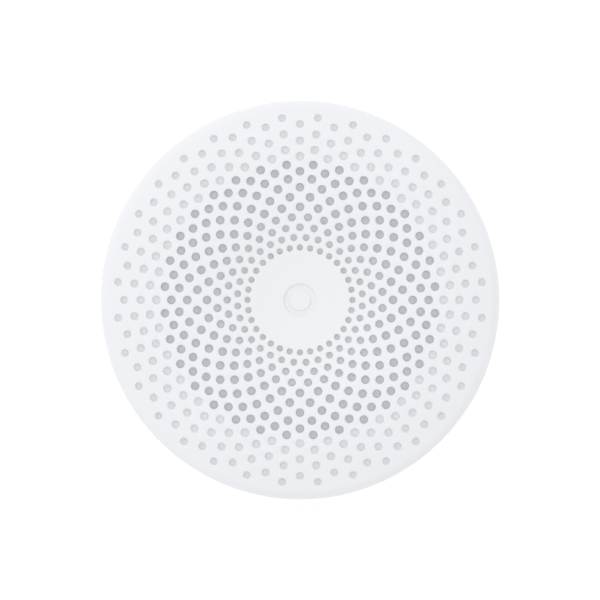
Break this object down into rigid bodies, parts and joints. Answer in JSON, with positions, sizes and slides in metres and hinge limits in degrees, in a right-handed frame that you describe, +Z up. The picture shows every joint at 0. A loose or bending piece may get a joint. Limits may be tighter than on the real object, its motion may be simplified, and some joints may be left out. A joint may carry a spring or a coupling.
{
  "type": "smart speaker",
  "caption": "Round palm-sized puck speaker: dished perforated white top over a small driver, bowl-shaped lower shell, charging port, lanyard eye and a key in the foot.",
  "frame": {"origin": "centre of the table face, under the silicone foot", "axes": "+Z up through the dished top, -Y out of the charging port, +Y out of the lanyard eye"},
  "size_m": [0.054, 0.054, 0.028],
  "materials": {
    "shell_white": "fine moulded matte",
    "grey_cloth": "fine woven acoustic cloth",
    "foot_silicone": "matte silicone",
    "button_white": "satin",
    "foam_black": "closed-cell foam",
    "inner_plastic": "moulded",
    "screw_steel": "plated",
    "basket_steel": "black paint",
    "zinc_steel": "zinc plated",
    "magnet_nickel": "nickel plated",
    "former_film": "amber film",
    "copper_wire": "enamelled copper",
    "cone_paper": "pressed paper",
    "cap_film": "formed film",
    "surround_rubber": "matte",
    "spider_cloth": "impregnated cloth",
    "fibre_board": "phenolic fibre",
    "tinned_brass": "tinned",
    "lead_black": "wire insulation",
    "lead_red": "wire insulation",
    "pouch_foil": "foil laminate",
    "board_green": "solder mask",
    "tape_white": "double-sided tape",
    "connector_white": "nylon",
    "ceramic_tan": "ceramic",
    "chip_black": "epoxy",
    "antenna_ceramic": "ceramic",
    "port_steel": "stamped",
    "tongue_black": "glass-filled",
    "gold_contact": "gold flash",
    "led_white": "lens",
    "clear_guide": "clear moulded",
    "mic_can": "drawn can",
    "boot_rubber": "moulded",
    "ferrite_grey": "pressed ferrite"
  },
  "bodies": {
    "housing": {"top_grille": "shell_white", "dust_cloth": "grey_cloth", "lower_shell": "shell_white", "foot_ring": "foot_silicone", "driver_gasket": "foam_black", "clamp_ring": "inner_plastic", "clamp_screws": "screw_steel", "driver_basket": "basket_steel", "magnet_yoke": "zinc_steel", "driver_magnet": "magnet_nickel", "pole_plate": "zinc_steel", "cone_surround": "surround_rubber", "spider": "spider_cloth", "terminal_board": "fibre_board", "terminal_lugs": "tinned_brass", "speaker_leads": "lead_black", "battery_cell": "pouch_foil", "protection_board": "board_green", "battery_tape": "tape_white", "battery_pad": "foam_black", "battery_tray": "inner_plastic", "tray_screws": "screw_steel", "battery_socket": "connector_white", "battery_plug": "connector_white", "battery_leads": "lead_red", "circuit_board": "board_green", "capacitors": "ceramic_tan", "resistors": "chip_black", "antenna": "antenna_ceramic", "usb_shell": "port_steel", "usb_tongue": "tongue_black", "usb_contacts": "gold_contact", "status_led": "led_white", "light_guide": "clear_guide", "microphone": "mic_can", "mic_boot": "boot_rubber", "switch_body": "chip_black", "switch_cover": "port_steel", "switch_dome": "port_steel", "radio_chip": "chip_black", "amplifier_chip": "chip_black", "charger_chip": "chip_black", "memory_chip": "chip_black", "crystal": "mic_can", "power_inductor": "ferrite_grey"},
    "button": {"function_button": "button_white"},
    "plunger": {"switch_plunger": "chip_black"},
    "cone": {"speaker_cone": "cone_paper", "dust_cap": "cap_film", "coil_former": "former_film", "voice_coil": "copper_wire"}
  },
  "joints": [
    {"name": "button_press", "type": "slide", "parent": "housing", "child": "button", "axis": [0, 0, 1], "range_m": [0, 0.0003], "stiffness_N_per_m": 3500, "springref_m": -0.0002},
    {"name": "plunger_press", "type": "slide", "parent": "housing", "child": "plunger", "axis": [0, 0, 1], "range_m": [0, 0.0003], "deforming": ["switch_dome"]},
    {"name": "cone_travel", "type": "slide", "parent": "housing", "child": "cone", "axis": [0, 0, 1], "range_m": [-0.0007, 0.0007], "stiffness_N_per_m": 1500, "deforming": ["cone_surround", "spider"]}
  ],
  "couplings": [
    {"joint": "plunger_press", "follows": "button_press", "ratio": 1}
  ]
}
